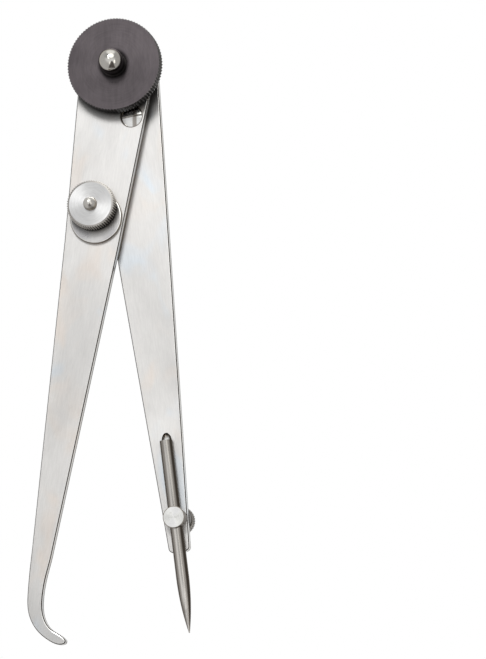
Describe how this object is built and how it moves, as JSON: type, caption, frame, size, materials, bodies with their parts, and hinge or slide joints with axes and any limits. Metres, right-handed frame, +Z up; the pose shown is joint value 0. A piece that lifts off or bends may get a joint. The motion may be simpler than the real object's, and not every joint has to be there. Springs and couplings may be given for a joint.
{
  "type": "odd-leg caliper",
  "caption": "Flat-leg odd-leg caliper with a lock joint, a fine adjuster, one inward hook foot and one clamped sliding scriber point.",
  "frame": {"origin": "on the joint's axis, in the plane of the scriber leg's front face", "axes": "+X to the right seen from the front, +Y away from the viewer along the joint's axis, +Z up; both legs hang down and the lock nut faces -Y"},
  "size_m": [0.0431, 0.0206, 0.1665],
  "materials": {
    "leg_steel": "satin ground",
    "blackened_steel": "satin black oxide",
    "polished_steel": "turned and polished",
    "knurled_steel": "turned and knurled",
    "hardened_steel": "ground, hardened",
    "spring_steel": "tempered brown",
    "washer_steel": "plain"
  },
  "bodies": {
    "frame": {"rear_leg": "leg_steel", "pivot_stud": "polished_steel", "stud_key": "washer_steel", "clamp_stud": "knurled_steel"},
    "leaf": {"adjusting_leaf": "spring_steel", "friction_washer": "washer_steel", "pivot_bushing": "washer_steel"},
    "hook": {"hook_leg": "leg_steel", "leg_wave_washer": "spring_steel", "stop_screw": "polished_steel", "adjusting_stud": "polished_steel", "disc_wave_washer": "spring_steel"},
    "adjuster": {"crank_disc": "polished_steel", "drive_pin": "hardened_steel", "adjusting_nut": "knurled_steel"},
    "lock_stack": {"thrust_washer": "washer_steel", "spring_washer": "spring_steel"},
    "lock_knob": {"lock_nut": "blackened_steel"},
    "scriber_rod": {"scriber": "hardened_steel"},
    "clamp_knob": {"clamp_nut": "knurled_steel"}
  },
  "joints": [
    {"name": "leg_opening", "type": "hinge", "parent": "frame", "child": "leaf", "pos_m": [0, 0, 0], "axis": [0, 1, 0], "range_deg": [-10.3, 50]},
    {"name": "fine_adjust", "type": "hinge", "parent": "leaf", "child": "hook", "pos_m": [0, 0, 0], "axis": [0, 1, 0], "range_deg": [-0.8, 0.8]},
    {"name": "adjuster_turn", "type": "hinge", "parent": "hook", "child": "adjuster", "pos_m": [-0.00588, 0, -0.038], "axis": [0, 1, 0], "range_deg": [-15.1, 15.1]},
    {"name": "lock_stack_slide", "type": "slide", "parent": "frame", "child": "lock_stack", "axis": [0, -1, 0], "range_m": [0, 0.0005]},
    {"name": "lock_nut_turn", "type": "hinge", "parent": "lock_stack", "child": "lock_knob", "pos_m": [0, 0, 0], "axis": [0, 1, 0], "range_deg": [-180, 0]},
    {"name": "scriber_slide", "type": "slide", "parent": "frame", "child": "scriber_rod", "axis": [0.1262, 0, -0.992], "range_m": [0, 0.012]},
    {"name": "clamp_nut_turn", "type": "hinge", "parent": "frame", "child": "clamp_knob", "pos_m": [0.01592, 0, -0.12116], "axis": [0, 1, 0], "range_deg": [0, 270]}
  ],
  "couplings": [
    {"joint": "adjuster_turn", "follows": "fine_adjust", "ratio": -18.75},
    {"joint": "lock_stack_slide", "follows": "lock_nut_turn", "m_per_rad": -0.000159}
  ]
}
